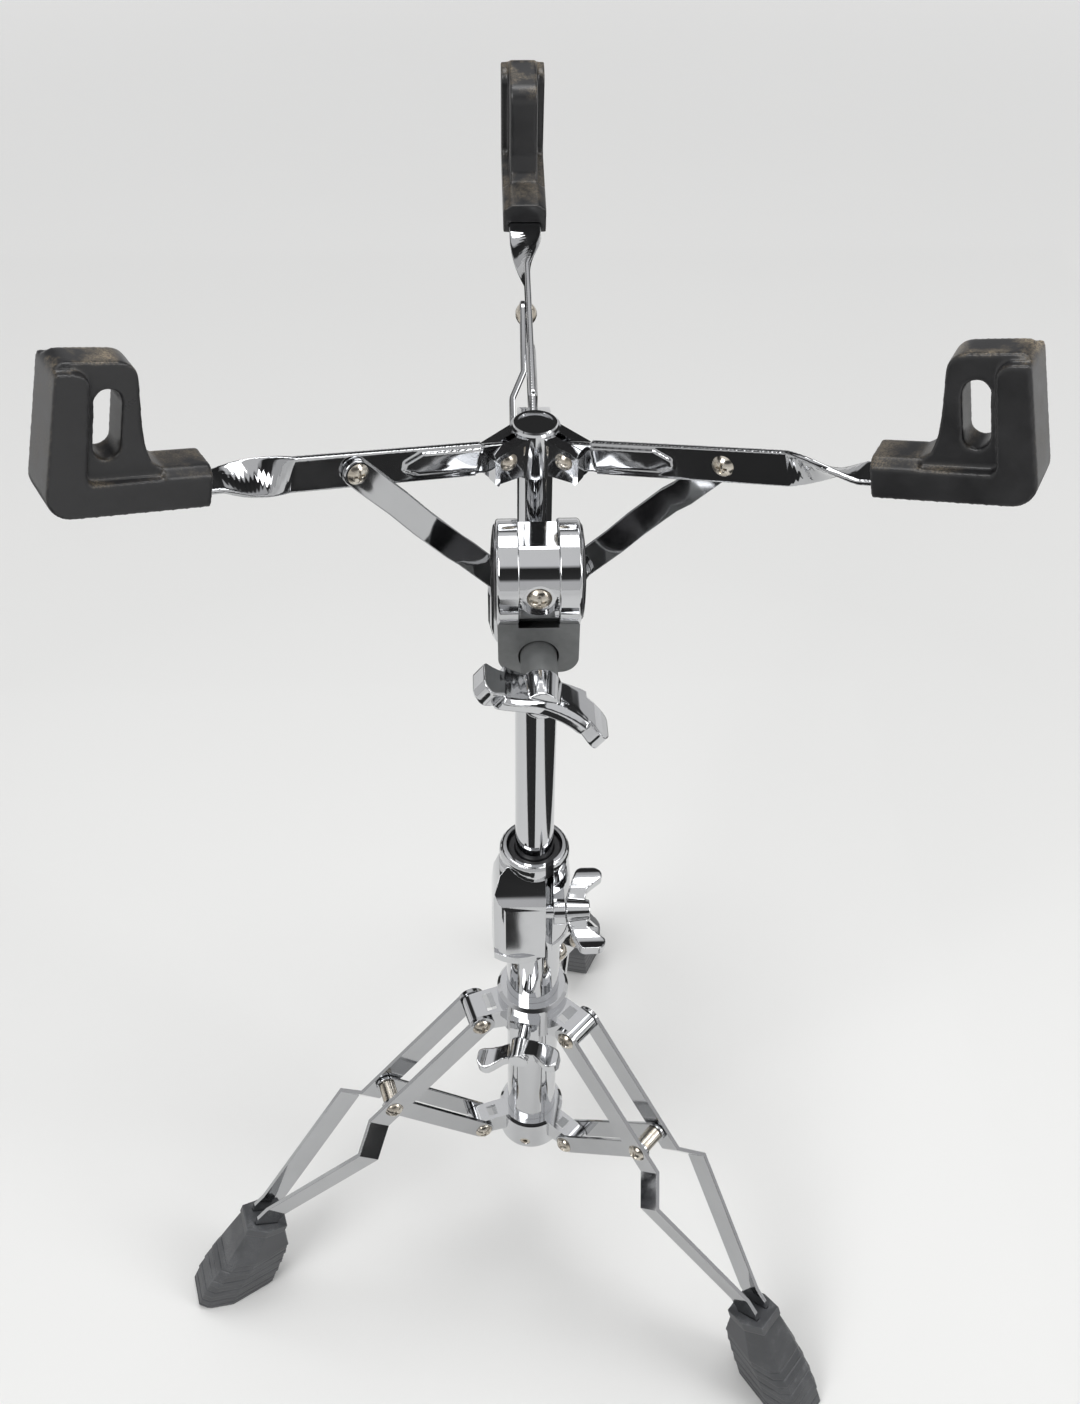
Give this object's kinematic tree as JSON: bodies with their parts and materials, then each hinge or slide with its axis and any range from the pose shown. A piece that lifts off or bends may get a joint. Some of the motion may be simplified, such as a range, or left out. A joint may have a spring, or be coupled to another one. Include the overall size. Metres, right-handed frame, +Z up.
{
  "type": "snare drum stand",
  "caption": "Chrome folding stand that holds a snare drum in a tilting three-arm basket with rubber grips, on a height-adjustable tube and a double-braced tripod.",
  "frame": {"origin": "on the floor under the axis of the tubes", "axes": "+Z up along the tubes; +Y towards the rear arm, away from the wing nut of the tilter; +X to the right seen from the wing nut's side"},
  "size_m": [0.39, 0.3932, 0.645],
  "materials": {
    "chrome_tube": "bright chrome plate on drawn tube",
    "chrome_strip": "bright chrome plate on stamped strip",
    "chrome_cast": "chrome plate on cast metal, slightly soft edges",
    "chrome_wing": "chrome plate on cast wing grips",
    "screw_metal": "nickel-toned domed screw and rivet heads",
    "cast_grey": "matt grey blasted casting",
    "cap_grey": "dark satin caps",
    "grip_rubber": "black satin rubber, worn edges",
    "foot_rubber": "dark grey moulded rubber",
    "bushing_nylon": "dark moulded nylon"
  },
  "bodies": {
    "base": {"base_tube": "chrome_tube", "lower_collar": "chrome_cast", "collar_set_screw": "screw_metal", "collar_pins": "screw_metal", "height_clamp": "chrome_cast"},
    "clamp_wing": {"clamp_wing_bolt": "chrome_wing"},
    "swivel": {"clamp_bushing": "bushing_nylon"},
    "upper": {"upper_tube": "chrome_tube", "tilter_base": "cast_grey"},
    "tilter_wing": {"tilter_wing_nut": "chrome_wing", "tilter_sleeve": "cast_grey"},
    "tilt": {"tilter_drum": "chrome_cast", "tilter_caps": "cap_grey", "tilter_block": "chrome_cast", "tilter_screw": "screw_metal", "block_pins": "screw_metal"},
    "nut": {"basket_nut": "chrome_cast"},
    "rod": {"basket_screw": "chrome_tube", "basket_hub": "chrome_cast", "hub_cap": "chrome_cast", "hub_pins": "screw_metal"},
    "casting": {"leg_casting": "chrome_cast", "casting_pins": "screw_metal"},
    "leg_wing": {"leg_wing_bolt": "chrome_wing"},
    "arm_1": {"arm_1": "chrome_strip", "tip_1": "grip_rubber", "arm_rivet_1": "screw_metal"},
    "strut_1": {"strut_1": "chrome_strip"},
    "brace_1": {"brace_1_left": "chrome_strip", "brace_1_right": "chrome_strip"},
    "leg_1": {"leg_1_left": "chrome_strip", "leg_1_right": "chrome_strip", "leg_pin_1": "screw_metal", "foot_1": "foot_rubber"},
    "arm_2": {"arm_2": "chrome_strip", "tip_2": "grip_rubber", "arm_rivet_2": "screw_metal"},
    "strut_2": {"strut_2": "chrome_strip"},
    "brace_2": {"brace_2_left": "chrome_strip", "brace_2_right": "chrome_strip"},
    "leg_2": {"leg_2_left": "chrome_strip", "leg_2_right": "chrome_strip", "leg_pin_2": "screw_metal", "foot_2": "foot_rubber"},
    "arm_3": {"arm_3": "chrome_strip", "tip_3": "grip_rubber", "arm_rivet_3": "screw_metal"},
    "strut_3": {"strut_3": "chrome_strip"},
    "brace_3": {"brace_3_left": "chrome_strip", "brace_3_right": "chrome_strip"},
    "leg_3": {"leg_3_left": "chrome_strip", "leg_3_right": "chrome_strip", "leg_pin_3": "screw_metal", "foot_3": "foot_rubber"}
  },
  "joints": [
    {"name": "clamp_wing_turn", "type": "hinge", "parent": "base", "child": "clamp_wing", "pos_m": [0.02, -0.0215, 0.318], "axis": [1, 0, 0], "range_deg": [0, 360]},
    {"name": "swivel_turn", "type": "hinge", "parent": "base", "child": "swivel", "pos_m": [0, 0, 0.333], "axis": [0, 0, 1], "continuous": true},
    {"name": "height_slide", "type": "slide", "parent": "swivel", "child": "upper", "axis": [0, 0, 1], "range_m": [-0.075, 0.04]},
    {"name": "tilter_wing_turn", "type": "hinge", "parent": "upper", "child": "tilter_wing", "pos_m": [0, -0.034, 0.483], "axis": [0, -1, 0], "range_deg": [0, 360]},
    {"name": "tilt_turn", "type": "hinge", "parent": "upper", "child": "tilt", "pos_m": [0, 0, 0.5147], "axis": [1, 0, 0], "range_deg": [-4, 60]},
    {"name": "basket_nut_turn", "type": "hinge", "parent": "tilt", "child": "nut", "pos_m": [0, 0.038, 0.465], "axis": [0, 0, 1], "range_deg": [-1100, 1100]},
    {"name": "basket_screw_slide", "type": "slide", "parent": "tilt", "child": "rod", "axis": [0, 0, 1], "range_m": [-0.0092, 0.0092]},
    {"name": "arm_1_fold", "type": "hinge", "parent": "rod", "child": "arm_1", "pos_m": [0, 0.054, 0.5515], "axis": [1, 0, 0], "range_deg": [-10, 10]},
    {"name": "strut_1_fold", "type": "hinge", "parent": "arm_1", "child": "strut_1", "pos_m": [0, 0.12066, 0.56812], "axis": [1, 0, 0], "range_deg": [-8, 8]},
    {"name": "arm_2_fold", "type": "hinge", "parent": "rod", "child": "arm_2", "pos_m": [-0.01386, 0.03, 0.5515], "axis": [-0.5, 0.866, 0], "range_deg": [-10, 10]},
    {"name": "strut_2_fold", "type": "hinge", "parent": "arm_2", "child": "strut_2", "pos_m": [-0.07158, -0.00333, 0.56812], "axis": [-0.5, 0.866, 0], "range_deg": [-8, 8]},
    {"name": "arm_3_fold", "type": "hinge", "parent": "rod", "child": "arm_3", "pos_m": [0.01386, 0.03, 0.5515], "axis": [-0.5, -0.866, 0], "range_deg": [-10, 10]},
    {"name": "strut_3_fold", "type": "hinge", "parent": "arm_3", "child": "strut_3", "pos_m": [0.07158, -0.00333, 0.56812], "axis": [-0.5, -0.866, 0], "range_deg": [-8, 8]},
    {"name": "tripod_fold", "type": "hinge", "parent": "base", "child": "brace_1", "pos_m": [0.00742, 0.03215, 0.103], "axis": [0.9744, -0.225, 0], "range_deg": [-8, 33]},
    {"name": "leg_1_fold", "type": "hinge", "parent": "brace_1", "child": "leg_1", "pos_m": [0.01936, 0.08385, 0.15949], "axis": [0.9744, -0.225, 0], "range_deg": [-66, 16]},
    {"name": "brace_2_fold", "type": "hinge", "parent": "base", "child": "brace_2", "pos_m": [-0.03156, -0.00965, 0.103], "axis": [-0.2924, 0.9563, 0], "range_deg": [-8, 33]},
    {"name": "leg_2_fold", "type": "hinge", "parent": "brace_2", "child": "leg_2", "pos_m": [-0.08229, -0.02516, 0.15949], "axis": [-0.2924, 0.9563, 0], "range_deg": [-66, 16]},
    {"name": "brace_3_fold", "type": "hinge", "parent": "base", "child": "brace_3", "pos_m": [0.02414, -0.02251, 0.103], "axis": [-0.682, -0.7314, 0], "range_deg": [-8, 33]},
    {"name": "leg_3_fold", "type": "hinge", "parent": "brace_3", "child": "leg_3", "pos_m": [0.06294, -0.05869, 0.15949], "axis": [-0.682, -0.7314, 0], "range_deg": [-66, 16]},
    {"name": "casting_fold", "type": "hinge", "parent": "leg_1", "child": "casting", "pos_m": [0.00742, 0.03215, 0.21599], "axis": [0.9744, -0.225, 0], "range_deg": [-8, 33]},
    {"name": "leg_wing_turn", "type": "hinge", "parent": "casting", "child": "leg_wing", "pos_m": [-0.00675, -0.02923, 0.21299], "axis": [-0.225, -0.9744, 0], "range_deg": [0, 360]}
  ],
  "couplings": [
    {"joint": "basket_screw_slide", "follows": "basket_nut_turn", "m_per_rad": -0.00047746},
    {"joint": "arm_1_fold", "follows": "basket_nut_turn", "ratio": 0.0090645},
    {"joint": "strut_1_fold", "follows": "basket_nut_turn", "ratio": -0.0070676},
    {"joint": "arm_2_fold", "follows": "basket_nut_turn", "ratio": 0.0090645},
    {"joint": "strut_2_fold", "follows": "basket_nut_turn", "ratio": -0.0070676},
    {"joint": "arm_3_fold", "follows": "basket_nut_turn", "ratio": 0.0090645},
    {"joint": "strut_3_fold", "follows": "basket_nut_turn", "ratio": -0.0070676},
    {"joint": "leg_1_fold", "follows": "tripod_fold", "ratio": -2},
    {"joint": "brace_2_fold", "follows": "tripod_fold", "ratio": 1},
    {"joint": "leg_2_fold", "follows": "tripod_fold", "ratio": -2},
    {"joint": "brace_3_fold", "follows": "tripod_fold", "ratio": 1},
    {"joint": "leg_3_fold", "follows": "tripod_fold", "ratio": -2},
    {"joint": "casting_fold", "follows": "tripod_fold", "ratio": 1}
  ]
}
